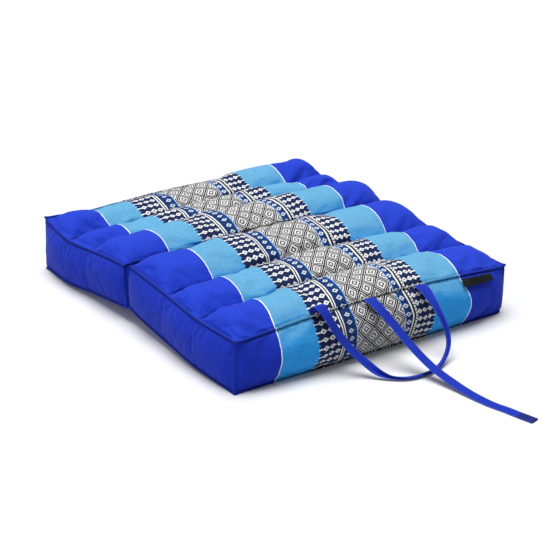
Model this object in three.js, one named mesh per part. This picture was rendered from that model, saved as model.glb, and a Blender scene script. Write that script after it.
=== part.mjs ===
// Meditation cushion that folds across its middle, lying open on its back.
// Two box-shaped halves of three stuffed channels each, a carrying handle, a tie and a side label.
// Millimetres, +Z up. The origin is on the floor under the middle of the cushion, +Y runs to the back.

import * as THREE from 'three';
import { mergeVertices } from 'three/addons/utils/BufferGeometryUtils.js';

// Driving dimensions of the cushion
const halfWidth = 250;
const frontY = -262;
const foldY = 17;
const backY = 262;
const foldGap = 0.15;

// Cover and filling
const seamDip = 5;
const shoulderReach = { left: 74, right: 48 };
const frontArch = 11;
const foldArch = 5.5;
const archPower = 1.5;
const floorReach = 40;
const foldFloorReach = 95;
const grooveHeight = 7;
const rollPower = 2.3;
const rollRoot = 0.62;
const bellyRoot = 0.7;
const cornerPower = 5;
const cornerRoot = 0.6;
const ridge = { up: 2.2, out: 1.5 };
const lowestShare = 0.9;
const grooveShare = 0.5;
const wallBulge = { side: 11, front: 23, back: 15 };
const foldLean = 8;
const foldBulge = 10;
const gatherDepth = 2.5;

// Straps and label
const strapWidth = 17;
const strapThick = 1.4;
const patchThick = 2;
const patchLength = 26;
const pieceGap = 0.3;
const labelThick = 0.8;

// Each row is a station of the side seams, from the outer edge (at 0) to the fold (at 1).
// leftIn and rightIn draw the seam in from the full half width, the rest are seam heights.
const frontSides = [
  { at: 0.00, leftIn: 4, rightIn: 7, topLeft: 76, topRight: 75, bottom: 3 },
  { at: 0.31, leftIn: -1, rightIn: 7, topLeft: 79, topRight: 78, bottom: 8 },
  { at: 0.61, leftIn: 3, rightIn: 8, topLeft: 84, topRight: 81, bottom: 14 },
  { at: 0.80, leftIn: 4, rightIn: 5, topLeft: 88, topRight: 87, bottom: 20 },
  { at: 1.00, leftIn: 6, rightIn: 13, topLeft: 91, topRight: 85, bottom: 27 },
];
const backSides = [
  { at: 0.00, leftIn: 4, rightIn: 4, topLeft: 84, topRight: 86, bottom: 4 },
  { at: 0.33, leftIn: -3, rightIn: 2, topLeft: 77, topRight: 80, bottom: 8 },
  { at: 0.57, leftIn: 2, rightIn: 2, topLeft: 79, topRight: 80, bottom: 14 },
  { at: 0.79, leftIn: 3, rightIn: -4, topLeft: 85, topRight: 89, bottom: 20 },
  { at: 1.00, leftIn: 4, rightIn: 13, topLeft: 88, topRight: 84, bottom: 25 },
];

// The stuffed channels of each half, from the outer edge to the fold. to is where the channel ends,
// and the rest is how far its crest stands over the seams at the left, the middle and the right.
const frontChannels = [
  { to: 0.31, left: 20, middle: 17, right: 17 },
  { to: 0.61, left: 14, middle: 17, right: 19 },
  { to: 1.00, left: 20, middle: 20, right: 22 },
];
const backChannels = [
  { to: 0.33, left: 4, middle: 7, right: 26 },
  { to: 0.57, left: 9, middle: 13, right: 20 },
  { to: 1.00, left: 18, middle: 20, right: 24 },
];

// Lattice stations: millimetres in from a side, shares of one channel, shares of the wall
const sideSteps = [0, 5, 14, 28, 48, 74, 108, 146, 184, 220];
const channelSteps = [0.04, 0.12, 0.25, 0.42, 0.58, 0.75, 0.88, 0.96];
const wallSteps = [0, 0.07, 0.22, 0.41, 0.59, 0.78, 0.93, 1];

// Routes of the straps, from the seam outwards. heading is the way the strap's width points in
// plan, in degrees, and wide is the share of the strap's width that is not folded under there.
const handleRoute = [
  { x: -114, y: -264.5, z: 86.8, heading: -180, wide: 1.1 },
  { x: -114, y: -265.3, z: 93, heading: -180, wide: 1.1 },
  { x: -112, y: -270, z: 97, heading: -178, wide: 1.1 },
  { x: -109, y: -279, z: 92, heading: -175, wide: 1.1 },
  { x: -104, y: -286, z: 81, heading: -170, wide: 1.05 },
  { x: -95, y: -291, z: 64, heading: -165, wide: 1 },
  { x: -81, y: -300, z: 42, heading: -158, wide: 1 },
  { x: -66, y: -314, z: 22, heading: -145, wide: 0.9 },
  { x: -54, y: -332, z: 9, heading: -130, wide: 0.75 },
  { x: -41, y: -348, z: 5, heading: -120, wide: 0.6 },
  { x: -23, y: -360, z: 4, heading: -105, wide: 0.5 },
  { x: 0, y: -364, z: 4, heading: -90, wide: 0.5 },
  { x: 27, y: -361, z: 5, heading: -72, wide: 0.5 },
  { x: 52, y: -350, z: 10, heading: -55, wide: 0.5 },
  { x: 69, y: -338, z: 24, heading: -25, wide: 0.5 },
  { x: 73, y: -326, z: 42, heading: -5, wide: 0.6 },
  { x: 72, y: -309, z: 62, heading: 0, wide: 0.8 },
  { x: 71, y: -293, z: 76, heading: 0, wide: 1.1 },
  { x: 72, y: -278, z: 84.5, heading: 0, wide: 1.3 },
  { x: 73, y: -265.2, z: 87.6, heading: 0, wide: 1.3 },
];
const tieRoute = [
  { x: -21, y: -264.8, z: 88.6, heading: -180, wide: 1.1 },
  { x: -21, y: -273, z: 88, heading: -178, wide: 1.1 },
  { x: -18, y: -289, z: 80, heading: -172, wide: 1.05 },
  { x: -9, y: -308, z: 62, heading: -168, wide: 1 },
  { x: 1, y: -340, z: 36, heading: -168, wide: 1 },
  { x: 8, y: -375, z: 18, heading: -170, wide: 1 },
  { x: 14, y: -411, z: 8, heading: -172, wide: 1 },
  { x: 18, y: -444, z: 3, heading: -170, wide: 1 },
  { x: 23, y: -479, z: 1.2, heading: -167, wide: 1 },
  { x: 29, y: -502, z: 1.2, heading: -166, wide: 1 },
  { x: 34, y: -526, z: 1.2, heading: -167, wide: 1 },
  { x: 39, y: -547, z: 1.2, heading: -168, wide: 1 },
];

// Plain helpers
const clamp01 = (value) => Math.min(1, Math.max(0, value));
const shoulder = (distance, reach) => Math.sqrt(1 - (1 - clamp01(distance / reach)) ** 2);
const rollRise = (share) => (1 - Math.abs(2 * share - 1) ** rollPower) ** rollRoot;

// Smooth reading of one column of a station table
function column(table, name, at) {
  let row = 0;
  while (row < table.length - 2 && at > table[row + 1].at) {
    row += 1;
  }
  const share = clamp01((at - table[row].at) / (table[row + 1].at - table[row].at));
  const slope = (index) => {
    const before = table[Math.max(0, index - 1)];
    const after = table[Math.min(table.length - 1, index + 1)];
    return (after[name] - before[name]) / (after.at - before.at);
  };
  const span = table[row + 1].at - table[row].at;
  const square = share * share;
  const cube = square * share;
  return table[row][name] * (2 * cube - 3 * square + 1)
    + slope(row) * span * (cube - 2 * square + share)
    + table[row + 1][name] * (3 * square - 2 * cube)
    + slope(row + 1) * span * (cube - square);
}

// The channel that holds this depth, and the share of the way through it
function channelPlace(channels, at) {
  let channel = 0;
  while (channel < channels.length - 1 && at > channels[channel].to) {
    channel += 1;
  }
  const from = channel > 0 ? channels[channel - 1].to : 0;
  return { row: channels[channel], share: clamp01((at - from) / (channels[channel].to - from)) };
}

// A station list along the depth, closer together beside each channel seam
function depthStations(channels) {
  const stations = [0];
  let from = 0;
  channels.forEach(({ to }) => {
    channelSteps.forEach((step) => stations.push(from + step * (to - from)));
    stations.push(to);
    from = to;
  });
  return stations;
}

// A station list across the width, mirrored about the middle, from -1 to 1
function widthStations() {
  const left = sideSteps.map((step) => step / halfWidth - 1);
  return [...left, 0, ...left.map((step) => -step).reverse()];
}

// A closed box lattice whose points are moved by a function of their three lattice numbers
function shapedBox(across, along, up, place) {
  const box = new THREE.BoxGeometry(across, along, up, across, along, up);
  box.deleteAttribute('normal');
  box.deleteAttribute('uv');
  const merged = mergeVertices(box, 1e-3);
  const points = merged.attributes.position;
  for (let index = 0; index < points.count; index += 1) {
    const i = Math.round(points.getX(index) + across / 2);
    const j = Math.round(points.getY(index) + along / 2);
    const k = Math.round(points.getZ(index) + up / 2);
    const moved = place(i, j, k);
    points.setXYZ(index, moved.x, moved.y, moved.z);
  }
  merged.computeVertexNormals();
  return merged;
}

// One half of the cushion, as a function from three shares to a point: across is -1 to 1, at is
// 0 at the outer edge and 1 at the fold, up is 0 at the underside and 1 at the top.
// outer is -1 for the front half and 1 for the back half.
function halfShape(sides, channels, outerY, outer, outerBulge) {
  const innerY = foldY + outer * foldGap;
  const yAt = (at) => outerY + (innerY - outerY) * at;
  const sideX = (across, at) => across * (halfWidth
    - column(sides, across < 0 ? 'leftIn' : 'rightIn', at));
  const archAt = (across, at) => (frontArch + (foldArch - frontArch) * at)
    * (1 - across * across) ** archPower;
  const topSeam = (across, at) => {
    const left = column(sides, 'topLeft', at);
    const right = column(sides, 'topRight', at);
    return left + (right - left) * (across + 1) / 2 + archAt(across, at);
  };
  const bottomSeam = (at) => column(sides, 'bottom', at);

  // Height of the cover's top panel
  const topHeight = (across, at) => {
    const inward = (1 - Math.abs(across)) * halfWidth;
    const reach = across < 0 ? shoulderReach.left : shoulderReach.right;
    const { row, share } = channelPlace(channels, at);
    const crest = row.middle + (across < 0 ? row.left - row.middle : row.right - row.middle)
      * Math.abs(across);
    const sewn = rollRise(share) < 1e-6 && at > 0 && at < 1 ? seamDip : 0;
    return topSeam(across, at) + shoulder(inward, reach) * (crest * rollRise(share) - sewn);
  };

  // Height of the underside, which rests flat on the floor
  const bottomHeight = (across, at) => {
    const inward = (1 - Math.abs(across)) * halfWidth;
    const outerDistance = Math.abs(yAt(at) - outerY);
    const foldDistance = Math.abs(yAt(at) - innerY);
    const rest = shoulder(inward, floorReach) * shoulder(outerDistance, floorReach)
      * shoulder(foldDistance, foldFloorReach);
    const lift = bottomSeam(at) * (1 - rest);
    const groove = grooveHeight
      * (1 - clamp01(rollRise(channelPlace(channels, at).share) / grooveShare))
      * shoulder(inward, floorReach) * (at > 0 && at < 1 ? 1 : 0);
    return Math.max(lift, rest > lowestShare ? groove : lift);
  };

  // How far a wall stands out at a share of its height, and at a share of its length
  const belly = (up) => Math.sin(Math.PI * up) ** bellyRoot;
  const drawnIn = (share) => (1 - Math.abs(2 * share - 1) ** cornerPower) ** cornerRoot;

  return (across, at, up) => {
    const onSide = Math.abs(across) > 1 - 1e-6;
    const onOuter = at < 1e-6;
    const onFold = at > 1 - 1e-6;
    const onTop = up > 1 - 1e-6;
    const onBottom = up < 1e-6;
    const top = topHeight(across, at);
    const bottom = bottomHeight(across, at);
    const point = new THREE.Vector3(sideX(across, at), yAt(at), bottom + (top - bottom) * up);
    const height = belly(up);
    if (onSide && !onTop && !onBottom) {
      const gather = 1 - gatherDepth / wallBulge.side
        * (1 - rollRise(channelPlace(channels, at).share));
      point.x += Math.sign(across) * wallBulge.side * height * drawnIn(at) * gather;
    }
    if (onOuter && !onTop && !onBottom) {
      point.y += outer * outerBulge * height * drawnIn((across + 1) / 2);
    }
    if (onFold) {
      const reach = foldBulge * height * drawnIn((across + 1) / 2);
      point.y += outer * Math.max(0, foldLean * up - reach);
    }
    const seams = Number(onSide) + Number(onOuter || onFold) + Number(onTop || onBottom);
    if (seams > 1) {
      point.x += onSide ? Math.sign(across) * ridge.out : 0;
      point.y += onOuter ? outer * ridge.out : 0;
      point.z += onTop ? ridge.up : 0;
      point.z -= onBottom ? Math.min(ridge.out, point.z) : 0;
    }
    return point;
  };
}

// The solid of one half, from its shape
function halfSolid(shape, channels, flip) {
  const widths = widthStations();
  const depths = depthStations(channels);
  return shapedBox(widths.length - 1, depths.length - 1, wallSteps.length - 1, (i, j, k) => {
    const row = flip ? depths.length - 1 - j : j;
    return shape(widths[i], depths[row], wallSteps[k]);
  });
}

// A flat strap that follows its route, its width turned as the route's headings say
function strapSolid(route, steps, startAt, endAt, thick) {
  const curve = new THREE.CatmullRomCurve3(
    route.map((row) => new THREE.Vector3(row.x, row.y, row.z)), false, 'centripetal');
  const readAt = (name, share) => {
    const place = curve.getUtoTmapping(share) * (route.length - 1);
    const row = Math.min(route.length - 2, Math.floor(place));
    return route[row][name] + (route[row + 1][name] - route[row][name]) * (place - row);
  };
  return shapedBox(1, steps, 1, (i, j, k) => {
    const share = startAt + (endAt - startAt) * j / steps;
    const run = curve.getTangentAt(share);
    const heading = THREE.MathUtils.degToRad(readAt('heading', share));
    const level = new THREE.Vector3(Math.cos(heading), Math.sin(heading), 0);
    const side = level.addScaledVector(run, -level.dot(run)).normalize();
    const face = new THREE.Vector3().crossVectors(side, run);
    return curve.getPointAt(share)
      .addScaledVector(side, (i - 0.5) * strapWidth * readAt('wide', share))
      .addScaledVector(face, (k - 0.5) * thick);
  });
}

// The label hangs from the front seam and lies on the swelling wall
function labelSolid(shape) {
  const label = { left: 0.62, right: 0.865, top: 0.965, bottom: 0.85, clear: 1.5 };
  const columns = 6;
  const rows = 3;
  return shapedBox(columns, 1, rows, (i, j, k) => {
    const across = label.left + (label.right - label.left) * i / columns;
    const up = label.bottom + (label.top - label.bottom) * k / rows;
    const point = shape(across, 0, up);
    const lower = shape(across, 0, up - 0.03);
    const fall = lower.sub(point).normalize();
    const out = new THREE.Vector3(0, fall.z, -fall.y).normalize();
    return point.addScaledVector(out, label.clear + (1 - j) * labelThick);
  });
}

const material = (color, roughness) => new THREE.MeshStandardMaterial({
  color, roughness, metalness: 0, flatShading: true,
});
const royalCotton = material(0x2a3fb8, 0.85);
const strapCotton = material(0x2036a4, 0.8);
const navyCotton = material(0x14246e, 0.85);
const blackRibbon = material(0x0d0d10, 0.6);

function addMesh(group, name, geometry, finish) {
  const mesh = new THREE.Mesh(geometry, finish);
  mesh.name = name;
  group.add(mesh);
}

const cushion = new THREE.Group();
const frontShape = halfShape(frontSides, frontChannels, frontY, -1, wallBulge.front);
const backShape = halfShape(backSides, backChannels, backY, 1, wallBulge.back);
addMesh(cushion, 'half_front', halfSolid(frontShape, frontChannels, false), royalCotton);
addMesh(cushion, 'half_back', halfSolid(backShape, backChannels, true), royalCotton);

const tieCurveLength = tieRoute.slice(1).reduce((sum, row, index) => sum
  + Math.hypot(row.x - tieRoute[index].x, row.y - tieRoute[index].y, row.z - tieRoute[index].z), 0);
const patchStart = 1 - patchLength / tieCurveLength;
const tieStop = patchStart - pieceGap / tieCurveLength;
addMesh(cushion, 'handle', strapSolid(handleRoute, 48, 0, 1, strapThick), strapCotton);
addMesh(cushion, 'tie', strapSolid(tieRoute, 36, 0, tieStop, strapThick), strapCotton);
addMesh(cushion, 'tie_end', strapSolid(tieRoute, 3, patchStart, 1, patchThick), navyCotton);
addMesh(cushion, 'label', labelSolid(frontShape), blackRibbon);

// The origin goes to the floor under the middle of the two halves
const filled = new THREE.Box3();
cushion.children.slice(0, 2).forEach((half) => filled.expandByObject(half));
const middle = filled.getCenter(new THREE.Vector3());
cushion.position.set(-middle.x, -middle.y, -filled.min.z);
cushion.updateMatrixWorld(true);

export default cushion;
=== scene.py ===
import math
import bmesh
import bpy
import numpy as np
from mathutils import Matrix, Vector, kdtree, noise


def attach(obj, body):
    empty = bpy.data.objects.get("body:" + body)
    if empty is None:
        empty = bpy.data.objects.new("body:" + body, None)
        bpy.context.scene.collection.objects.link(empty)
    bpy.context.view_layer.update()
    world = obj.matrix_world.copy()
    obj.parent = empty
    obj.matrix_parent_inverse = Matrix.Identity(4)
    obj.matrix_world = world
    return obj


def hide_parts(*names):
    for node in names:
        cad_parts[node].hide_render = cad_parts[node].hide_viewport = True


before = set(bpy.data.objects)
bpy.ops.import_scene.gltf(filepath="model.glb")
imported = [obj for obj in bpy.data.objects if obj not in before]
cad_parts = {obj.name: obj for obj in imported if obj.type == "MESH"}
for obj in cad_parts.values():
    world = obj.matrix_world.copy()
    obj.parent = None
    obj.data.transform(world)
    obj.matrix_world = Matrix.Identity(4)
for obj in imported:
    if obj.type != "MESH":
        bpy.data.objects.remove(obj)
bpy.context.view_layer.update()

mm = 0.001
drawingShift = np.array((-0.929, 3.888, 0.0))  # mm, from the sewing plan's middle to the frame's origin


# Small helpers

def pickOnly(*objects):
    bpy.ops.object.select_all(action="DESELECT")
    for obj in objects:
        obj.select_set(True)
    bpy.context.view_layer.objects.active = objects[0]


def applyModifier(obj, kind, **settings):
    pickOnly(obj)
    modifier = obj.modifiers.new(kind.title(), kind)
    for name, value in settings.items():
        setattr(modifier, name, value)
    bpy.ops.object.modifier_apply(modifier=modifier.name)


def pointsOf(obj):
    flat = np.empty(len(obj.data.vertices) * 3)
    obj.data.vertices.foreach_get("co", flat)
    return flat.reshape(-1, 3)


def normalsOf(obj):
    flat = np.empty(len(obj.data.vertices) * 3)
    obj.data.vertex_normals.foreach_get("vector", flat)
    return flat.reshape(-1, 3)


def setPoints(obj, points):
    obj.data.vertices.foreach_set("co", np.ascontiguousarray(points).ravel())
    obj.data.update()


def readField(obj, name, width):
    values = np.empty(len(obj.data.vertices) * width)
    obj.data.attributes[name].data.foreach_get("vector" if width == 3 else "value", values)
    return values.reshape(-1, width) if width == 3 else values


def writeField(obj, name, values):
    kind, key = ("FLOAT_VECTOR", "vector") if values.ndim == 2 else ("FLOAT", "value")
    field = obj.data.attributes.get(name) or obj.data.attributes.new(name, kind, "POINT")
    field.data.foreach_set(key, np.ascontiguousarray(values, dtype=np.float32).ravel())


def unit(vectors):
    return vectors / np.maximum(np.linalg.norm(vectors, axis=-1, keepdims=True), 1e-12)


def smoothStep(value, low, high):
    share = np.clip((value - low) / (high - low), 0, 1)
    return share * share * (3 - 2 * share)


# A sheet of points becomes a mesh: a grid primitive whose vertices go to the points, row by row
def gridPiece(name, points, woven, closed=False, capped=False):
    rows, columns = points.shape[:2]
    bpy.ops.object.select_all(action="DESELECT")
    bpy.ops.mesh.primitive_grid_add(x_subdivisions=columns - 1, y_subdivisions=rows - 1, size=1)
    piece = bpy.context.object
    piece.name = name
    piece.data.name = name
    setPoints(piece, points.reshape(-1, 3))
    writeField(piece, "woven", woven.reshape(-1, 3))
    bpy.ops.object.mode_set(mode="EDIT")
    bpy.ops.mesh.select_all(action="SELECT")
    if closed:
        bpy.ops.mesh.remove_doubles(threshold=2e-5)
    if capped:
        bpy.ops.mesh.select_all(action="DESELECT")
        bpy.ops.mesh.select_non_manifold()
        bpy.ops.mesh.edge_face_add()
    bpy.ops.mesh.select_all(action="SELECT")
    bpy.ops.mesh.normals_make_consistent(inside=False)
    bpy.ops.object.mode_set(mode="OBJECT")
    bpy.ops.object.shade_smooth()
    return piece


# Camera: level with a seated eye, turned to the front left corner

cameraSettings = {
    "place": (-1354.9, -1840.2, 996.5),
    "target": (-24.4, -42.1, 47.0),
    "roll": 1.3,
    "focalPixels": 1600,
    "framePixels": 550,
    "sensor": 36.0,
}


def makeCamera():
    data = bpy.data.cameras.new("studioCamera")
    data.sensor_width = cameraSettings["sensor"]
    data.lens = cameraSettings["focalPixels"] / cameraSettings["framePixels"] * data.sensor_width
    data.clip_start = 0.05
    data.clip_end = 50
    camera = bpy.data.objects.new("studioCamera", data)
    bpy.context.collection.objects.link(camera)
    place = Vector(cameraSettings["place"]) * mm
    target = Vector(cameraSettings["target"]) * mm
    look = (target - place).to_track_quat("-Z", "Y").to_matrix()
    turn = Matrix.Rotation(math.radians(cameraSettings["roll"]), 3, "Z")
    camera.matrix_world = Matrix.Translation(place) @ (look @ turn).to_4x4()
    bpy.context.scene.camera = camera


makeCamera()
print("camera placed")


# Colours and nodes

def toLinear(code):
    shares = [int(code[at:at + 2], 16) / 255 for at in (1, 3, 5)]
    return tuple(s / 12.92 if s <= 0.04045 else ((s + 0.055) / 1.055) ** 2.4 for s in shares) + (1,)


def addNode(tree, kind, inputs=None, output=0, **settings):
    node = tree.nodes.new(kind)
    for name, value in settings.items():
        setattr(node, name, value)
    for key, value in (inputs or {}).items():
        if isinstance(value, bpy.types.NodeSocket):
            tree.links.new(value, node.inputs[key])
        else:
            node.inputs[key].default_value = value
    return node.outputs[output] if node.outputs else node


def colourStops(socket, stops, interpolation="CONSTANT"):
    ramp = socket.node.color_ramp
    ramp.interpolation = interpolation
    while len(ramp.elements) > 1:
        ramp.elements.remove(ramp.elements[-1])
    ramp.elements[0].position = stops[0][0]
    ramp.elements[0].color = toLinear(stops[0][1])
    for place, code in stops[1:]:
        ramp.elements.new(place).color = toLinear(code)


def newMaterial(name):
    material = bpy.data.materials.new(name)
    material.use_nodes = True
    material.node_tree.nodes.clear()
    return material, material.node_tree


# Steps of a material: arithmetic, a mix of two colours, and a dye that varies with the threads

def mathNode(tree, operation, *values):
    return addNode(tree, "ShaderNodeMath", dict(enumerate(values)), operation=operation)


def mixNode(tree, factor, first, second, blend="MIX"):
    return addNode(
        tree, "ShaderNodeMix", {"Factor": factor, 6: first, 7: second}, 2, data_type="RGBA", blend_type=blend)


def unevenDye(tree, colour, threads, share):
    tone = addNode(tree, "ShaderNodeMapRange", {
        "Value": threads, "From Min": 0.3, "From Max": 0.7, "To Min": 1 - share, "To Max": 1 + share,
    })
    return mixNode(tree, 1.0, colour, tone, "MULTIPLY")


# The cover is cotton, woven in stripes along the cushion with a supplementary weft pattern in
# the middle. It is matt and soft, with a slight nap. Lengths are in mm, and a pair is for the
# band's left side and its right side.
coverLook = {
    "royal": "#213BB5",
    "sky": "#5B98BD",
    "royalPaintedShade": "#1830AE",        # the same two dyes, deeper on the walls as painted shade
    "skyPaintedShade": "#2A92DC",
    "whiteLine": "#E9F0F2",
    "navy": "#17244A",
    "navyHeart": "#2A3352",
    "blueBright": "#0E3C7A",
    "navyBlue": "#132F61",
    "blueHeart": "#2B4788",
    "blueDiamond": "#C3CCD2",
    "paleLine": "#9DB4D8",
    "ink": "#14161C",
    "weftWhite": "#DCDDDD",
    "weftGrey": "#8B8D90",
    "latticeWhite": "#D3D3D2",
    "looseness": (1.5, 3.0, 0.0),   # how far the threads wander across and along
    "rowPitch": 12.6,               # from one row of diamonds to the next
    "diamondHalf": 4.2,             # half of a diamond's height
    "diamondWide": (11.3, 9.6),
    "diamondsFrom": (67.6, 64.0),   # the first diamond's start
    "diamondsInRow": 3,
    "tipAt": 3.25,                  # in diamonds, a short line after the last one
    "tipHalf": 0.3,
    "lineHalf": 0.9,
    "blueMiddle": (50.5, 47.3),
    "blueHalf": 5.2,
    "motifEdge": 0.97,
    "toothDepth": 1.1,              # for each mm along
    "toothAt": 100.0,
    "toothReach": 12.0,
    "latticeHalf": 40.1,
    "latticeAcross": 26.4,          # the width of one lattice diamond
    "latticeAlong": 28.0,
    "chainAt": 62.2,
    "chainHalf": 1.3,
    "linkHalf": 2.4,
    "linkSolid": 1.5,
    "threadPitch": 1.3,             # the real thread is 0.4 mm, which is too fine to show
    "dyeVaries": 0.12,
    "creaseReach": 20.0,            # from a seam or a channel
    "creaseShade": [(0.08, "#BCBCBC"), (0.25, "#EAEAEA"), (0.8, "#FFFFFF")],
    "roughness": 0.88,
}

# Woven stripes on each side, outward from the middle of the band, in mm
stripeSpan = 180.0
leftStripes = [
    (0, "weftGrey"), (39.6, "paleLine"), (41.2, "blueBright"), (45.6, "navyBlue"), (60.2, "weftWhite"),
    (62.3, "ink"), (64.5, "weftWhite"), (66.6, "navy"), (103.5, "sky"), (165.4, "whiteLine"),
    (167.3, "royal"),
]
rightStripes = [
    (0, "weftGrey"), (39.6, "paleLine"), (41.2, "blueBright"), (44.6, "navyBlue"), (54.0, "weftWhite"),
    (56.3, "ink"), (59.8, "weftWhite"), (63.6, "navy"), (94.0, "sky"), (165.4, "whiteLine"),
    (167.3, "royal"),
]

# Motifs from their middle to their edge
navyMotif = [(0, "navyHeart"), (0.24, "weftGrey"), (0.36, "weftWhite"), (0.98, "navy")]
blueMotif = [(0, "blueHeart"), (0.4, "blueDiamond")]
latticeMotif = [
    (0, "ink"), (0.11, "latticeWhite"), (0.21, "ink"), (0.38, "latticeWhite"), (0.62, "ink"),
    (0.8, "latticeWhite"),
]


def wovenRamp(tree, look, place, stops, span=1.0):
    ramp = addNode(tree, "ShaderNodeValToRGB", {0: place})
    colourStops(ramp, [(at / span, look[name]) for at, name in stops])
    return ramp


# A value that differs between the band's two sides
def bySide(tree, right, pair):
    return mathNode(tree, "MULTIPLY_ADD", right, pair[1] - pair[0], pair[0])


# The stripes, with two small teeth to a row where the navy meets the sky. The tops get a paler lit copy
# of the colours and the walls a deeper shaded copy: painted light and painted shade, set by how far the cloth
# faces up.
def stripeColours(tree, look, half, along, right):
    fromTooth = mathNode(tree, "PINGPONG", along, look["rowPitch"] / 4)
    tooth = mathNode(tree, "MULTIPLY", fromTooth, -look["toothDepth"])
    nearTeeth = mathNode(tree, "COMPARE", half, look["toothAt"], look["toothReach"])
    stripeAt = mathNode(tree, "MULTIPLY_ADD", tooth, nearTeeth, half)
    share = mathNode(tree, "DIVIDE", stripeAt, stripeSpan)
    tones = []
    # A shaded copy for the walls and a lit copy for the tops, mixed as painted shade and painted light
    for litAndShadedColours in ({**look, "royal": look["royalPaintedShade"], "sky": look["skyPaintedShade"]}, look):
        sides = [wovenRamp(tree, litAndShadedColours, share, stripes, stripeSpan) for stripes in (leftStripes, rightStripes)]
        tones.append(mixNode(tree, right, *sides))
    paintedTopLight = addNode(tree, "ShaderNodeAttribute", attribute_name="paintedTopLight", output=2)
    return mixNode(tree, paintedTopLight, *tones)


# Diamonds point to point in each navy row, and a short line after the last one
def navyDiamonds(tree, look, half, right, fromRow, rowShare):
    inRow = mathNode(tree, "SUBTRACT", half, bySide(tree, right, look["diamondsFrom"]))
    place = mathNode(tree, "DIVIDE", inRow, bySide(tree, right, look["diamondWide"]))
    offset = mathNode(tree, "SUBTRACT", place, 0.5)
    fromDiamond = mathNode(tree, "PINGPONG", offset, 0.5)
    reach = mathNode(tree, "MULTIPLY_ADD", fromDiamond, 2.0, rowShare)
    middle = look["diamondsInRow"] / 2
    inside = mathNode(tree, "COMPARE", place, middle, middle)
    atTip = mathNode(tree, "COMPARE", place, look["tipAt"], look["tipHalf"])
    onLine = mathNode(tree, "LESS_THAN", fromRow, look["lineHalf"])
    return wovenRamp(tree, look, reach, navyMotif), inside, mathNode(tree, "MULTIPLY", atTip, onLine)


# One small diamond a row in the blue stripes beside the middle
def blueDiamonds(tree, look, half, right, rowShare):
    fromBlue = mathNode(tree, "SUBTRACT", half, bySide(tree, right, look["blueMiddle"]))
    away = mathNode(tree, "ABSOLUTE", fromBlue)
    reach = mathNode(tree, "MULTIPLY_ADD", away, 1 / look["blueHalf"], rowShare)
    inside = mathNode(tree, "LESS_THAN", reach, look["motifEdge"])
    near = mathNode(tree, "LESS_THAN", away, look["blueHalf"])
    return wovenRamp(tree, look, reach, blueMotif), mathNode(tree, "MULTIPLY", inside, near)


# The middle: a lattice of double diagonal lines round small square flowers
def latticeMiddle(tree, look, across, along, half):
    acrossCell = mathNode(tree, "DIVIDE", across, look["latticeAcross"])
    alongCell = mathNode(tree, "DIVIDE", along, look["latticeAlong"])
    slants = [mathNode(tree, way, acrossCell, alongCell) for way in ("ADD", "SUBTRACT")]
    nearest = mathNode(tree, "MINIMUM", *[mathNode(tree, "PINGPONG", slant, 0.5) for slant in slants])
    cell = mathNode(tree, "MULTIPLY", nearest, 2.0)
    inside = mathNode(tree, "LESS_THAN", half, look["latticeHalf"])
    return wovenRamp(tree, look, cell, latticeMotif), inside


# The right outer white line is a chain of small links
def chainGaps(tree, look, across, along):
    links = mathNode(tree, "PINGPONG", along, look["linkHalf"])
    gap = mathNode(tree, "GREATER_THAN", links, look["linkSolid"])
    onChain = mathNode(tree, "COMPARE", across, look["chainAt"], look["chainHalf"])
    return mathNode(tree, "MULTIPLY", gap, onChain)


# The stripes first, and the motifs over them
def bandColours(tree, look, across, along):
    half = mathNode(tree, "ABSOLUTE", across)
    right = mathNode(tree, "GREATER_THAN", across, 0.0)
    fromRow = mathNode(tree, "PINGPONG", along, look["rowPitch"] / 2)
    rowShare = mathNode(tree, "DIVIDE", fromRow, look["diamondHalf"])
    band = stripeColours(tree, look, half, along, right)
    diamonds, inDiamonds, atTip = navyDiamonds(tree, look, half, right, fromRow, rowShare)
    small, inSmall = blueDiamonds(tree, look, half, right, rowShare)
    lattice, inLattice = latticeMiddle(tree, look, across, along, half)
    layers = [
        (inDiamonds, diamonds), (inSmall, small), (inLattice, lattice),
        (chainGaps(tree, look, across, along), toLinear(look["ink"])), (atTip, toLinear(look["weftWhite"])),
    ]
    for factor, colour in layers:
        band = mixNode(tree, factor, band, colour)
    return band


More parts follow.
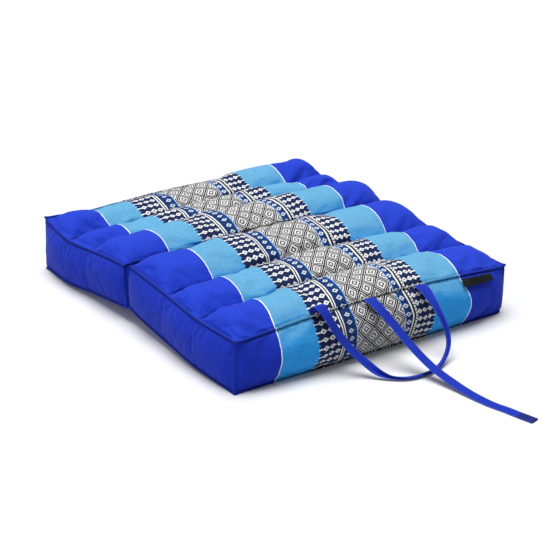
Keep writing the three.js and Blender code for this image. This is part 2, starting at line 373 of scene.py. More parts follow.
def coverMaterial():
    look = coverLook
    material, tree = newMaterial("wovenCotton")
    woven = addNode(tree, "ShaderNodeAttribute", attribute_name="woven", output=1)

    # The loom's small shifts make every edge and motif a little uneven
    wander = addNode(tree, "ShaderNodeTexNoise", {"Vector": woven, "Scale": 0.12, "Detail": 4.0}, 1)
    shift = addNode(
        tree, "ShaderNodeVectorMath", {0: wander, 1: look["looseness"], 2: woven}, operation="MULTIPLY_ADD")
    middle = [size / 2 for size in look["looseness"]]
    loose = addNode(tree, "ShaderNodeVectorMath", {0: shift, 1: middle}, operation="SUBTRACT")
    split = addNode(tree, "ShaderNodeSeparateXYZ", {0: loose}).node.outputs
    across, along, panel = split[0], split[1], split[2]

    # The underside is a plain panel
    onPanel = mathNode(tree, "GREATER_THAN", panel, 0.5)
    patterned = mixNode(tree, onPanel, toLinear(look["royal"]), bandColours(tree, look, across, along))
    slub = addNode(tree, "ShaderNodeTexNoise", {"Vector": woven, "Scale": 0.35, "Detail": 4.0}, 0)
    dyed = unevenDye(tree, patterned, slub, look["dyeVaries"])

    # Painted shade: the cloth is darker in the creases beside its seams and channels
    seamAway = addNode(tree, "ShaderNodeAttribute", attribute_name="seamAway", output=2)
    share = mathNode(tree, "DIVIDE", seamAway, look["creaseReach"])
    crease = addNode(tree, "ShaderNodeValToRGB", {0: share})
    colourStops(crease, look["creaseShade"], "LINEAR")
    dyed = mixNode(tree, 1.0, dyed, crease, "MULTIPLY")

    # Plain weave: ribs of both thread directions
    turns = 2 * math.pi / look["threadPitch"]
    ribs = [mathNode(tree, "SINE", mathNode(tree, "MULTIPLY", way, turns)) for way in (across, along)]
    weave = mathNode(tree, "MULTIPLY", *ribs)
    rough = mathNode(tree, "MULTIPLY_ADD", slub, 1.5, weave)
    bump = addNode(tree, "ShaderNodeBump", {"Strength": 0.25, "Distance": 0.0004, "Height": rough})
    shader = addNode(tree, "ShaderNodeBsdfPrincipled", {
        "Base Color": dyed, "Roughness": look["roughness"], "Normal": bump, "Specular IOR Level": 0.1,
        "Sheen Weight": 0.1, "Sheen Roughness": 0.35, "Sheen Tint": (0.85, 0.92, 1.0, 1.0),
    })
    addNode(tree, "ShaderNodeOutputMaterial", {"Surface": shader})
    return material


# Flat cotton tape, folded and stitched along both edges, a little shinier than the cover
def tapeMaterial(name, code, edgeCode, roughness):
    material, tree = newMaterial(name)
    woven = addNode(tree, "ShaderNodeAttribute", attribute_name="woven", output=1)
    split = addNode(tree, "ShaderNodeSeparateXYZ", {0: woven}).node.outputs
    across = mathNode(tree, "ABSOLUTE", split[0])
    edge = addNode(tree, "ShaderNodeMapRange", {"Value": across, "From Min": 0.86, "From Max": 0.97})
    body = mixNode(tree, edge, toLinear(code), toLinear(edgeCode))
    grain = addNode(tree, "ShaderNodeTexNoise", {"Vector": woven, "Scale": 0.6, "Detail": 3.0}, 0)
    dyed = unevenDye(tree, body, grain, coverLook["dyeVaries"])
    twill = mathNode(tree, "MULTIPLY", split[1], 4.2)
    slope = mathNode(tree, "MULTIPLY_ADD", split[0], 30.0, twill)
    ribs = mathNode(tree, "SINE", slope)
    bump = addNode(tree, "ShaderNodeBump", {"Strength": 0.25, "Distance": 0.0003, "Height": ribs})
    shader = addNode(tree, "ShaderNodeBsdfPrincipled", {
        "Base Color": dyed, "Roughness": roughness, "Normal": bump, "Specular IOR Level": 0.2,
        "Sheen Weight": 0.05, "Sheen Roughness": 0.4,
    })
    addNode(tree, "ShaderNodeOutputMaterial", {"Surface": shader})
    return material


# Smooth pale paper that glows a little, so that only soft shadows show
def paperMaterial():
    material, tree = newMaterial("studioPaper")
    place = addNode(tree, "ShaderNodeTexCoord", output=3)
    grain = addNode(tree, "ShaderNodeTexNoise", {"Vector": place, "Scale": 400.0}, 0)
    bump = addNode(tree, "ShaderNodeBump", {"Strength": 0.03, "Distance": 0.0002, "Height": grain})
    shader = addNode(tree, "ShaderNodeBsdfPrincipled", {
        "Base Color": toLinear("#CBCCCE"), "Roughness": 0.9, "Normal": bump, "Specular IOR Level": 0.05,
        "Emission Color": toLinear("#FFFFFF"), "Emission Strength": 0.04,
    })
    addNode(tree, "ShaderNodeOutputMaterial", {"Surface": shader})
    return material


cover = coverMaterial()
tape = tapeMaterial("royalTape", "#0B289A", "#2A46BA", 0.75)
endTape = tapeMaterial("navyTape", "#141E66", "#2C3A96", 0.8)
ribbon = tapeMaterial("blackRibbon", "#070709", "#121215", 0.6)
print("materials made")


def dress(piece, material, slotName, *nodes):
    piece.data.materials.clear()
    piece.data.materials.append(material)
    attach(piece, "root")
    if nodes:
        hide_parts(*nodes)


# Straps

tapeSettings = {
    "width": 17.0,
    "thick": 1.5,
    "acrossPoints": 9,
    "step": 4.0,               # mm along the handle
    "tieStep": 2.0,
    "curvePoints": 24,         # from one row of a route to the next
    "foldRound": 0.16,         # how round the lengthwise fold is, as a share of the half width
}

# heading is the way the width points in plan, wide the share of the width that is not folded
# under, turn and open the roll and the opening of the lengthwise fold, all angles in degrees
handleRoute = [
    # x, y, z, heading, wide, turn, open
    (-114, -261.5, 88.5, -180, 1.15, 0, 90),
    (-114, -261.5, 96, -180, 1.15, 0, 90),
    (-112, -267, 101, -178, 1.15, 0, 90),
    (-109, -277, 95, -175, 0.95, 0, 90),
    (-104, -286, 81, -170, 0.85, 0, 90),
    (-95, -291, 64, -165, 0.9, 0, 90),
    (-81, -300, 42, -158, 1, 0, 90),
    (-66, -314, 22, -145, 1, 15, 70),
    (-54, -332, 9, -130, 1, 50, 40),
    (-41, -348, 5, -120, 1, 80, 16),
    (-23, -360, 4, -105, 1, 88, 8),
    (0, -364, 4, -90, 1, 88, 8),
    (27, -361, 5, -72, 1, 85, 9),
    (52, -350, 10, -55, 1, 60, 14),
    (69, -338, 24, -25, 1, 25, 22),
    (73, -326, 42, -5, 1, 0, 30),
    (72, -309, 62, 0, 1, 0, 42),
    (71, -293, 76, 0, 1.1, 0, 60),
    (72, -278, 84.5, 0, 1.2, 0, 76),
    (73, -265.2, 87.6, 0, 1.3, 0, 88),
]
tieRoute = [
    # x, y, z, heading, wide, turn, open
    (-21, -264.8, 88.6, -180, 1.1, 0, 90),
    (-21, -273, 88, -178, 1.1, 0, 90),
    (-18, -289, 80, -172, 1.05, 0, 90),
    (-9, -308, 62, -168, 1, 0, 90),
    (1, -340, 36, -168, 1, 0, 90),
    (8, -375, 18, -170, 1, 0, 90),
    (14, -411, 8, -172, 1, 0, 90),
    (18, -444, 3, -170, 1, 0, 90),
    (23, -479, 1.2, -167, 1, 0, 90),
    (29, -502, 1.2, -166, 1, 0, 90),
    (34, -526, 1.2, -167, 1, 0, 90),
    (39, -547, 1.2, -168, 1, 0, 90),
]


# One smooth curve through the rows, read at even steps of its length
def smoothRoute(route, step):
    rows = np.array(route, dtype=float)
    places = rows[:, :3] + drawingShift
    padded = np.vstack([2 * places[0] - places[1], places, 2 * places[-1] - places[-2]])
    gaps = np.sqrt(np.linalg.norm(np.diff(padded, axis=0), axis=1))
    fine, settings = [], []
    for index in range(len(places) - 1):
        before, start, end, after = padded[index:index + 4]
        gap0, gap1, gap2 = gaps[index:index + 3]
        leave = ((start - before) / gap0 - (end - before) / (gap0 + gap1) + (end - start) / gap1) * gap1
        arrive = ((end - start) / gap1 - (after - start) / (gap1 + gap2) + (after - end) / gap2) * gap1
        for share in np.linspace(0, 1, tapeSettings["curvePoints"], endpoint=False):
            square, cube = share ** 2, share ** 3
            fine.append(start * (2 * cube - 3 * square + 1) + leave * (cube - 2 * square + share)
                        + end * (3 * square - 2 * cube) + arrive * (cube - square))
            settings.append(rows[index, 3:] * (1 - share) + rows[index + 1, 3:] * share)
    fine = np.array(fine + [places[-1]])
    settings = np.array(settings + [rows[-1, 3:]])
    length = np.concatenate([[0], np.cumsum(np.linalg.norm(np.diff(fine, axis=0), axis=1))])
    wanted = np.linspace(0, length[-1], int(round(length[-1] / step)) + 1)
    centre = np.stack([np.interp(wanted, length, fine[:, axis]) for axis in range(3)], axis=1)
    columns = np.stack([np.interp(wanted, length, settings[:, axis]) for axis in range(4)], axis=1)
    return centre, columns, wanted


# The tape's closed section is carried along its route
def strapPiece(name, centre, columns, along, thick):
    run = unit(np.gradient(centre, axis=0))
    heading = np.radians(columns[:, 0])
    level = np.stack([np.cos(heading), np.sin(heading), np.zeros_like(heading)], axis=1)
    side = unit(level - run * (level * run).sum(1, keepdims=True))
    face = np.cross(side, run)
    turn = np.radians(columns[:, 2])[:, None]
    middle = face * np.cos(turn) + side * np.sin(turn)
    wing = side * np.cos(turn) - face * np.sin(turn)
    spread = np.linspace(-1, 1, tapeSettings["acrossPoints"])
    rows, fields = [], []
    for index, place in enumerate(centre):
        reach = tapeSettings["width"] / 2 * columns[index, 1]
        opening = math.radians(columns[index, 3])
        bend = tapeSettings["foldRound"]
        out = (np.sqrt(spread ** 2 + bend ** 2) - bend) * reach * math.cos(opening)
        line = (place + np.outer(spread * reach * math.sin(opening), wing[index])
                + np.outer(out - out.mean(), middle[index]))
        tangent = unit(np.gradient(line, axis=0))
        normal = unit(np.cross(tangent, run[index]))
        roundOff = np.sqrt(np.clip(1 - spread ** 8, 0.12, 1))[:, None]
        ring = np.vstack([line + normal * thick / 2 * roundOff, (line - normal * thick / 2 * roundOff)[::-1]])
        rows.append(np.vstack([ring, ring[:1]]))
        ringSpread = np.concatenate([spread, spread[::-1], spread[:1]])
        fields.append(np.stack(
            [ringSpread, np.full_like(ringSpread, along[index]), np.ones_like(ringSpread)], axis=1))
    return gridPiece(name, np.array(rows) * mm, np.array(fields), closed=True, capped=True)


patchSettings = {"length": 26.0, "thick": 2.4, "tuck": 3.0}


def makeStraps():
    centre, columns, along = smoothRoute(handleRoute, tapeSettings["step"])
    handle = strapPiece("handle_tape", centre, columns, along, tapeSettings["thick"])
    applyModifier(handle, "SUBSURF", levels=1, render_levels=1)
    dress(handle, tape, "strap", "handle")

    centre, columns, along = smoothRoute(tieRoute, tapeSettings["tieStep"])
    last = along <= along[-1] - patchSettings["length"] + patchSettings["tuck"]
    patch = along >= along[-1] - patchSettings["length"]
    tie = strapPiece("tie_tape", centre[last], columns[last], along[last], tapeSettings["thick"])
    applyModifier(tie, "SUBSURF", levels=1, render_levels=1)
    dress(tie, tape, "strap", "tie")
    end = strapPiece("tie_end_patch", centre[patch], columns[patch], along[patch], patchSettings["thick"])
    applyModifier(end, "SUBSURF", levels=1, render_levels=1)
    dress(end, endTape, "strap_end", "tie_end")


makeStraps()
print("straps laid")


# The two stuffed halves

halfSettings = {
    "half_front": {"outer": -1, "name": "front_half_cover"},
    "half_back": {"outer": 1, "name": "back_half_cover"},
    "acrossCells": 20,
    "depthCells": 27,
    "wallCells": 7,
    "channelCells": 9,         # lattice cells from one channel seam to the next
    "pressure": 4.0,
    "frames": 20,
    "cap": 5.0,                # mm, the most that the cloth may move
    "easing": 12,              # rounds that ease the small wrinkles out
    "sunk": 9.0,               # mm, how much lower the back edge is between its corners
    "sunkAlong": (226, 276),
    "sunkFromLeft": (-238, -170),
    "sunkFromRight": (-235, -180),   # of -x
    "edgeHeight": 88.0,
    "rimCrease": 0.75,
    "channelCrease": 0.9,
}


def cellCounts():
    return [halfSettings[key] for key in ("acrossCells", "depthCells", "wallCells")]


# The next vertex straight on, at a crossing of four threads
def straightOn(before, here):
    arrival = next(e for e in here.link_edges if e.other_vert(here) == before)
    faces = set(arrival.link_faces)
    return next(e.other_vert(here) for e in here.link_edges if not faces & set(e.link_faces))


def straightLine(first, second, steps):
    line = [first, second]
    while len(line) <= steps:
        line.append(straightOn(line[-2], line[-1]))
    return line


# The place of every vertex on the cover's lattice: cells across, along the depth and up
def latticeOf(shell):
    wide, deep, high = cellCounts()
    grid = {}
    corners = [v for v in shell.verts if len(v.link_edges) == 3]
    first = min(corners, key=lambda v: v.co.x + v.co.y + v.co.z)
    beside = max((e.other_vert(first) for e in first.link_edges), key=lambda v: v.co.x - first.co.x)
    for i, vert in enumerate(straightLine(first, beside, wide)):
        grid[i, 0, 0] = vert
    hoop = [(0, k) for k in range(high)] + [(j, high) for j in range(deep)]
    hoop += [(deep, k) for k in range(high, 0, -1)] + [(j, 0) for j in range(deep, 0, -1)]
    for i in range(1, wide):
        start = grid[i, 0, 0]
        up = max((e.other_vert(start) for e in start.link_edges), key=lambda v: v.co.z - start.co.z)
        for (j, k), vert in zip(hoop, straightLine(start, up, len(hoop) - 1)):
            grid[i, j, k] = vert
    for inner, edge in ((1, 0), (wide - 1, wide)):
        step = inner - edge
        for j in range(1, deep):
            line = straightLine(grid[inner + step, j, high], grid[inner, j, high], high + 3)
            for k, vert in zip(range(high, -1, -1), line[2:]):
                grid[edge, j, k] = vert
        for j in (0, deep):
            for k in range(1, high):
                line = straightLine(grid[inner + step, j, k], grid[inner, j, k], 2)
                grid[edge, j, k] = line[2]
            for k in (0, high):
                near = grid[inner, j, k]
                grid[edge, j, k] = next(
                    e.other_vert(near) for e in near.link_edges if len(e.other_vert(near).link_edges) == 3)
    return grid


# The stuffing draws the band a little sideways: its middle and the white lines' distance from it
bandDrift = [
    # y, middle, half width, in mm
    (-264, -14.7, 166.3), (-175, -9.4, 160.5), (-92, -4.5, 161.9), (17, -1.1, 167.5),
    (122, -1.1, 171.0), (181, -4.9, 170.2), (262, -6.0, 169.0),
]
bandHalf = 166.2
bandLean = 5.5               # mm, half of how far the band's right edge leans out down the front wall


def acrossThread(point, down=0):
    x, y = (point[axis] / mm - drawingShift[axis] for axis in (0, 1))
    table = np.array(bandDrift)
    lean = bandLean * smoothStep(down, 0, 45)
    middle = np.interp(y, table[:, 0], table[:, 1]) + lean
    reach = np.interp(y, table[:, 0], table[:, 2]) + lean
    return (x - middle) / reach * bandHalf


# Lengths of cloth from the first place of a path to each of its places, in mm
def lengthsOf(grid, i, path):
    lengths = [0.0]
    for before, here in zip(path, path[1:]):
        lengths.append(lengths[-1] + (grid[(i, *here)].co - grid[(i, *before)].co).length / mm)
    return lengths


# Thread coordinates: mm across and mm along the cloth from the outer top seam
def wovenFields(grid, outer):
    wide, deep, high = cellCounts()
    depths = list(range(deep + 1)) if outer < 0 else list(range(deep, -1, -1))
    woven = {}
    for i in range(wide + 1):
        path = [(depths[0], k) for k in range(high, -1, -1)]
        for (j, k), length in zip(path, lengthsOf(grid, i, path)):
            down = length if outer < 0 else 0
            woven[i, j, k] = [acrossThread(grid[i, j, k].co, down), -length, 1.0]
        path = [(j, high) for j in depths] + [(depths[-1], k) for k in range(high - 1, -1, -1)]
        for (j, k), length in zip(path, lengthsOf(grid, i, path)):
            woven[i, j, k] = [acrossThread(grid[i, j, k].co), length, 1.0]
        for j in range(1, deep):
            woven[i, j, 0] = [grid[i, j, 0].co.x / mm, grid[i, j, 0].co.y / mm, 0.0]
    for i in (0, wide):
        for j in range(1, deep):
            length = abs(woven[i, j, high][0])
            for k in range(high - 1, -1, -1):
                length += (grid[i, j, k].co - grid[i, j, k + 1].co).length / mm
                woven[i, j, k] = [math.copysign(length, i - 1), woven[i, j, high][1], 1.0]
    if outer > 0:
        for place in woven.values():
            place[1] = -place[1]
    return woven


def sewnPlaces():
    wide, deep, high = cellCounts()
    channels = (halfSettings["channelCells"], 2 * halfSettings["channelCells"])
    seams = {"rim": [], "corners": [], "channels": [], "floor": []}
    for i in range(wide + 1):
        for j in range(deep + 1):
            for k in range(high + 1):
                onEdges = (i in (0, wide)) + (j in (0, deep)) + (k in (0, high))
                if onEdges >= 2 and (k in (0, high)):
                    seams["rim"].append((i, j, k))
                if onEdges >= 2 and i in (0, wide) and j in (0, deep):
                    seams["corners"].append((i, j, k))
                if k == high and j in channels:
                    seams["channels"].append((i, j, k))
                if k == 0:
                    seams["floor"].append((i, j, k))
    return seams


def makeHalf(node):
    settings = halfSettings[node]
    wide, deep, high = cellCounts()
    half = bpy.data.objects.new(settings["name"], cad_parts[node].data.copy())
    bpy.context.collection.objects.link(half)
    pickOnly(half)
    bpy.ops.object.mode_set(mode="EDIT")
    bpy.ops.mesh.select_all(action="SELECT")
    bpy.ops.mesh.remove_doubles(threshold=1e-5)
    bpy.ops.mesh.tris_convert_to_quads(face_threshold=math.pi, shape_threshold=math.pi)
    bpy.ops.object.mode_set(mode="OBJECT")
    shell = bmesh.new()
    shell.from_mesh(half.data)
    if settings["outer"] > 0:
        for vert in shell.verts:
            x, y = vert.co.x / mm, vert.co.y / mm
            sunk = (halfSettings["sunk"] * smoothStep(y, *halfSettings["sunkAlong"])
                    * smoothStep(x, *halfSettings["sunkFromLeft"])
                    * smoothStep(-x, *halfSettings["sunkFromRight"]))
            vert.co.z *= 1 - sunk / halfSettings["edgeHeight"]
    grid = latticeOf(shell)
    woven = wovenFields(grid, settings["outer"])
    field = np.zeros((len(shell.verts), 3))
    for place, vert in grid.items():
        field[vert.index] = woven[place]
    seams = sewnPlaces()
    crease = shell.edges.layers.float.new("crease_edge")
    sharp = {grid[place].index for place in seams["rim"] if place in grid}
    valley = {grid[i, j, k].index: min(i, wide - i) for i, j, k in seams["channels"]}
    for edge in shell.edges:
        ends = {v.index for v in edge.verts}
        if ends <= sharp:
            edge[crease] = halfSettings["rimCrease"]
        if ends <= valley.keys():
            fromSide = min(valley[index] for index in ends)
            edge[crease] = halfSettings["channelCrease"] * min(1, max(0, fromSide - 1) / 3)
    groups = {
        name: [grid[place].index for place in places if place in grid] for name, places in seams.items()}
    sides = [grid[i, j, k].index for i in (0, wide) for j in range(1, deep) for k in range(1, high)]
    shell.to_mesh(half.data)
    shell.free()
    writeField(half, "woven", field)
    for name, members in groups.items():
        half.vertex_groups.new(name=name).add(members, 1.0, "REPLACE")
    held = half.vertex_groups.new(name="held")
    held.add([index for members in groups.values() for index in members], 1.0, "REPLACE")
    half.vertex_groups.new(name="sides").add(sides, 1.0, "REPLACE")
    applyModifier(half, "SMOOTH", factor=0.6, iterations=8, vertex_group="sides", use_y=False, use_z=False)
    applyModifier(half, "SUBSURF", levels=2, render_levels=2)
    bpy.ops.object.shade_smooth()
    inflate(half)
    refine(half)
    applyModifier(half, "SMOOTH", factor=0.5, iterations=halfSettings["easing"],
                  vertex_group="held", invert_vertex_group=True)
    sewSeams(half)
    dress(half, cover, "cover", node)
    print(settings["name"], "made with", len(half.data.polygons), "faces")
    return half


# The filling presses the cover out between its held seams
def inflate(half):
    start = pointsOf(half)
    pickOnly(half)
    cloth = half.modifiers.new("Cloth", "CLOTH")
    cloth.settings.quality = 4
    cloth.settings.mass = 0.3
    cloth.settings.tension_stiffness = 15
    cloth.settings.compression_stiffness = 15
    cloth.settings.shear_stiffness = 5
    cloth.settings.bending_stiffness = 0.6
    cloth.settings.use_pressure = True
    cloth.settings.uniform_pressure_force = halfSettings["pressure"]
    cloth.settings.effector_weights.gravity = 0
    cloth.settings.vertex_group_mass = "held"
    cloth.settings.shrink_min = -0.02
    cloth.point_cache.frame_start = 1
    cloth.point_cache.frame_end = halfSettings["frames"]
    for step in range(1, halfSettings["frames"] + 1):
        bpy.context.scene.frame_set(step)
    bpy.ops.object.modifier_apply(modifier="Cloth")
    bpy.context.scene.frame_set(1)
    moved = pointsOf(half) - start
    distance = np.linalg.norm(moved, axis=1, keepdims=True)
    cap = halfSettings["cap"] * mm
    print("cloth moved", round(float(distance.mean()) / mm, 2), "mm on average,",
          round(float(distance.max()) / mm, 1), "at most")
    scale = cap * np.tanh(distance / cap) / np.maximum(distance, 1e-9)
    points = start + moved * scale
    points[:, 2] = np.maximum(points[:, 2], 0.0)
    setPoints(half, points)


# Smaller faces on the top and the walls, for the puckers beside the seams
def refine(half):
    underside = half.vertex_groups["floor"].index
    weights = [sum(g.weight for g in v.groups if g.group == underside) for v in half.data.vertices]
    pickOnly(half)
    bpy.ops.object.mode_set(mode="EDIT")
    bpy.ops.mesh.select_mode(type="FACE")
    bpy.ops.mesh.select_all(action="DESELECT")
    bpy.ops.object.mode_set(mode="OBJECT")
    for face in half.data.polygons:
        face.select = min(weights[index] for index in face.vertices) < 0.99
    bpy.ops.object.mode_set(mode="EDIT")
    bpy.ops.mesh.subdivide(number_cuts=1)
    bpy.ops.mesh.select_mode(type="VERT")
    bpy.ops.object.mode_set(mode="OBJECT")


# Seams as lists of vertices in order, from a vertex group
def seamLines(half, name):
    group = half.vertex_groups[name].index
    members = {v.index for v in half.data.vertices
               if any(g.group == group and g.weight > 0.99 for g in v.groups)}
    beside = {index: [] for index in members}
    for edge in half.data.edges:
        first, second = edge.vertices
        if first in members and second in members:
            beside[first].append(second)
            beside[second].append(first)
    lines, left = [], set(members)
    while left:
        ends = [index for index in left if len(beside[index]) == 1]
        line = [min(ends or left)]
        left.discard(line[0])
        while True:
            ahead = [index for index in beside[line[-1]] if index in left]
            if not ahead:
                break
            line.append(min(ahead))
            left.discard(line[-1])
        if not ends:
            line.append(line[0])
        lines.append(line)
    return lines


# Points at every millimetre of some seams, in a tree that finds the nearest one
def seamTree(points, lines):
    samples = []
    for line in lines:
        for first, second in zip(line, line[1:]):
            start, end = points[first], points[second]
            count = max(1, int(np.linalg.norm(end - start) / mm))
            samples += [start + (end - start) * n / count for n in range(count)]
    tree = kdtree.KDTree(len(samples))
    for index, sample in enumerate(samples):
        tree.insert(sample, index)
    tree.balance()
    return tree


# In mm. The groove runs beside the seams, the crease is a channel's, the rises plump the rolls
# and their ends, the cord is a seam's pinched edge, and the ears are the outer corners.
seamSettings = {
    "grooveDepth": 1.0, "grooveAt": 3.3, "grooveWidth": 1.9,
    "pucker": 0.25, "wallPucker": 1.1, "puckerPitch": 7.0, "puckerReach": 14.0, "wallReach": 22.0,
    "puckerFrom": 1.5, "puckerFade": 4.0,
    "creaseDepth": 3.4, "creaseWidth": 3.6, "creasePucker": 0.35, "creaseFade": 45.0,
    "rollRise": 2.5, "rollReach": 20.0, "leftRise": 6.5, "rightRise": 1.5, "endAt": 34.0, "endWidth": 26.0,
    "backRise": 8.0, "backAt": 70.0, "backWidth": 48.0, "backFrom": 185.0, "backFull": 220.0,
    "riseRounds": 14,
    "broad": 1.1, "broadPitch": 60.0, "fine": 0.12, "finePitch": 20.0,
    "cordAcross": 1.0, "cordUp": 1.3, "cordRise": 0.4, "cordWave": 0.25, "cordPitch": 11.0,
    "cordPoints": 9, "cordShade": 3.5, "cornerShare": 0.5,
    "earReach": 9.0, "earFade": 2.2, "earLength": 2.6, "drawnIn": 1.2,
    # upward shares of the normal over which the painted top light comes in
    "paintedTopLightFrom": 0.2, "paintedTopLightFull": 0.95,
}


# Averages a value with its neighbours' values, round after round
def evenOut(piece, values, rounds):
    ends = np.empty(len(piece.data.edges) * 2, dtype=int)
    piece.data.edges.foreach_get("vertices", ends)
    first, second = ends.reshape(-1, 2).T
    count = np.bincount(ends, minlength=len(values))
    for _ in range(rounds):
        total = np.bincount(first, values[second], len(values))
        total += np.bincount(second, values[first], len(values))
        values = (values + total / count) / 2
    return values


# How far the cloth faces up, which sets how much painted top light it gets
def markPaintedTopLight(piece):
    upward = normalsOf(piece)[:, 2]
    writeField(piece, "paintedTopLight", smoothStep(upward, seamSettings["paintedTopLightFrom"], seamSettings["paintedTopLightFull"]))


# The stitches draw the cover in beside each seam and pucker it, and the stuffing is uneven
def sewSeams(half):
    use = seamSettings
    points, normals = pointsOf(half), normalsOf(half)
    rims, channels = seamLines(half, "rim"), seamLines(half, "channels")
    rimTree, channelTree = seamTree(points, rims), seamTree(points, channels)
    moves, rises, seamAway = (np.zeros(len(points)) for _ in range(3))
    sideReach = np.abs(points[:, 0]).max() / mm
    for index, point in enumerate(points):
        spot, _, away = rimTree.find(point)
        away /= mm
        pinch = noise.noise(spot / mm / use["puckerPitch"])
        moves[index] -= use["grooveDepth"] * math.exp(-((away - use["grooveAt"]) / use["grooveWidth"]) ** 2)
        fade = min(1, max(0, (away - use["puckerFrom"]) / use["puckerFade"]))
        upward = smoothStep(normals[index][2], 0.5, 0.9)
        pucker = use["wallPucker"] + (use["pucker"] - use["wallPucker"]) * upward
        reach = use["wallReach"] + (use["puckerReach"] - use["wallReach"]) * upward
        moves[index] += pucker * pinch * fade * math.exp(-away / reach)
        inward = min(1, away / use["creaseFade"])
        spot, _, channelAway = channelTree.find(point)
        channelAway /= mm

        # The painted shade is narrow along a seam and wide along a channel
        seamAway[index] = min(away + 3 * max(0, away - 2.5), channelAway + 1.2 + 2 * (1 - inward))
        pinch = noise.noise(spot / mm / use["puckerPitch"])
        moves[index] -= use["creaseDepth"] * inward * math.exp(-(channelAway / use["creaseWidth"]) ** 2)
        moves[index] += (use["creasePucker"] * pinch * min(1, channelAway / use["puckerFade"])
                         * math.exp(-channelAway / use["puckerReach"]))
        plump = upward * (1 - math.exp(-(min(away, channelAway) / use["rollReach"]) ** 2))
        endRise = use["leftRise"] if point[0] < 0 else use["rightRise"]
        fromSide = sideReach - abs(point[0] / mm)
        toEnd = (fromSide - use["endAt"]) / use["endWidth"]
        rises[index] = plump * (use["rollRise"] + endRise * math.exp(-toEnd ** 2))
        if point[0] < 0:
            toBack = (fromSide - use["backAt"]) / use["backWidth"]
            atBack = smoothStep(point[1] / mm, use["backFrom"], use["backFull"])
            rises[index] += plump * use["backRise"] * atBack * math.exp(-toBack ** 2)
        place = Vector(point) / mm
        moves[index] += fade * use["broad"] * noise.noise(place / use["broadPitch"])
        moves[index] += fade * use["fine"] * noise.noise(place / use["finePitch"])
    moves += evenOut(half, rises, use["riseRounds"])
    lifted = smoothStep(points[:, 2] / mm, 0.2, 6)
    points += normals * (moves * lifted * mm)[:, None]

    # The outer wall's corners stand out, but the one on the floor at the right is drawn in
    corners = seamLines(half, "corners")
    outerWall = points[:, 1].min() if half.name.startswith("front") else points[:, 1].max()
    for line in corners:
        share = 1.0 if abs(points[line[0]][1] - outerWall) < 30 * mm else 0.0
        for tip, rim in ((line[0], line[1]), (line[-1], line[-2])):
            flat = points[tip][0] > 0 and points[tip][2] < 20 * mm
            outward = unit(unit(points[tip] - points[rim]) + normals[tip] * [1, 1, 0])
            near = np.linalg.norm(points - points[tip], axis=1) / mm
            way = -use["drawnIn"] if flat else 1.0
            ear = share * way * use["earLength"] * np.exp(-near / use["earReach"] * use["earFade"])
            points += outward * (ear * mm)[:, None]
    points[:, 2] = np.maximum(points[:, 2], 0)
    setPoints(half, points)
    # Distances that set the painted crease shade
    writeField(half, "seamAway", seamAway)
    markPaintedTopLight(half)
    woven = readField(half, "woven", 3)
    for number, line in enumerate(rims + corners):
        share = 1.0 if number < len(rims) else use["cornerShare"]
        seamCord(half, number, points[line], normals[line], woven[line], share, number < len(rims))


# The pinched edge of a seam, a narrow roll of the same cloth
def seamCord(half, number, line, out, woven, share, closed):
    run = unit(np.gradient(line, axis=0))
    if closed:
        run[0] = run[-1] = unit(line[1] - line[-2])
    out = unit(out - run * (out * run).sum(1, keepdims=True))
    side = np.cross(run, out)
    use = seamSettings
    turns = np.linspace(0, 2 * math.pi, use["cordPoints"])
    raised = np.sin(turns) * use["cordUp"] * share + use["cordRise"]
    rows = []
    for index, point in enumerate(line):
        wave = use["cordWave"] * noise.noise(Vector(point) / mm / use["cordPitch"])
        ring = (np.outer(np.cos(turns) * use["cordAcross"] * share + wave, side[index])
                + np.outer(raised, out[index]))
        rows.append(point + ring * mm)
    points = np.array(rows)
    points[:, :, 2] = np.maximum(points[:, :, 2], 0.1 * mm)
    fields = np.repeat(woven[:, None, :], use["cordPoints"], axis=1)
    cord = gridPiece(f"{half.name}_seam_{number + 1}", points, fields, closed=True, capped=not closed)
    # The cord gets the same painted crease shade
    writeField(cord, "seamAway", np.full(len(cord.data.vertices), use["cordShade"]))
    markPaintedTopLight(cord)
    dress(cord, cover, "cover")


for nodeName in ("half_front", "half_back"):
    makeHalf(nodeName)


# The ribbon label under the front seam

labelSettings = {
    "rounding": 0.25, "cuts": 5, "wave": 0.3, "wavePitch": 9.0,
    "halfWidth": 15.6, "standOff": 2.5, "clear": 1.2,
}


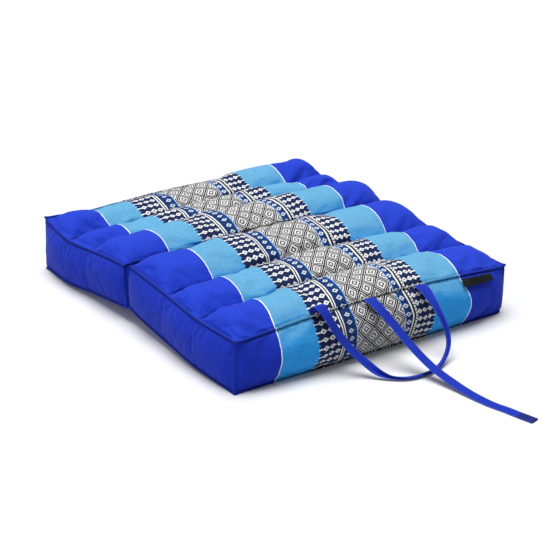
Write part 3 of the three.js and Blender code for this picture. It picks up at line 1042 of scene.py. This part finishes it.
def makeLabel():
    label = bpy.data.objects.new("side_ribbon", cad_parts["label"].data.copy())
    bpy.context.collection.objects.link(label)
    pickOnly(label)
    bpy.ops.object.mode_set(mode="EDIT")
    bpy.ops.mesh.select_all(action="SELECT")
    bpy.ops.mesh.remove_doubles(threshold=1e-5)
    bpy.ops.mesh.tris_convert_to_quads()
    bpy.ops.mesh.bevel(offset=labelSettings["rounding"] * mm, segments=2)
    bpy.ops.mesh.select_all(action="SELECT")
    bpy.ops.mesh.subdivide(number_cuts=labelSettings["cuts"])
    bpy.ops.object.mode_set(mode="OBJECT")
    bpy.ops.object.shade_smooth()
    points, normals = pointsOf(label), normalsOf(label)
    wave = [labelSettings["wave"] * noise.noise(Vector(p) / mm / labelSettings["wavePitch"]) for p in points]
    points += normals * (np.array(wave) * mm)[:, None]
    down = points[:, 2].max() - points[:, 2]
    points[:, 1] -= labelSettings["standOff"] * mm * down / np.ptp(points[:, 2])
    points[:, 1] -= labelSettings["clear"] * mm
    setPoints(label, points)
    middle = (points.min(axis=0) + points.max(axis=0)) / 2
    field = np.stack([(points[:, 0] - middle[0]) / mm / labelSettings["halfWidth"], points[:, 2] / mm,
                      np.ones(len(points))], axis=1)
    writeField(label, "woven", field)
    dress(label, ribbon, "ribbon", "label")


makeLabel()
print("label sewn on")


# Studio

studioSettings = {
    "world": 0.1,
    "overhead": {"strength": 4.6, "angle": 44.0, "from": (-0.05, 0.07, 1.0)},
    "leftFill": {"strength": 0.6, "angle": 60.0, "from": (-1.0, 0.1, 0.8)},
}


# Broad soft lights, one high over the cushion and a weak one from the left
def addLight(name):
    settings = studioSettings[name]
    data = bpy.data.lights.new(name, "SUN")
    data.energy = settings["strength"]
    data.angle = math.radians(settings["angle"])
    light = bpy.data.objects.new(name, data)
    bpy.context.collection.objects.link(light)
    light.rotation_mode = "QUATERNION"
    light.rotation_quaternion = Vector(settings["from"]).to_track_quat("Z", "Y")


def makeStudio():
    bpy.ops.object.select_all(action="DESELECT")
    bpy.ops.mesh.primitive_plane_add(size=16, location=(0, 0, 0))
    floor = bpy.context.object
    floor.name = "studio_floor"
    floor.data.materials.append(paperMaterial())
    addLight("overhead")
    addLight("leftFill")
    world = bpy.data.worlds.new("studioWorld")
    bpy.context.scene.world = world
    world.use_nodes = True
    world.node_tree.nodes.clear()
    backdrop = addNode(world.node_tree, "ShaderNodeBackground", {
        "Color": (1, 1, 1, 1), "Strength": studioSettings["world"],
    })
    addNode(world.node_tree, "ShaderNodeOutputWorld", {"Surface": backdrop})
    bpy.context.scene.view_settings.view_transform = "Standard"


makeStudio()
print("studio set")
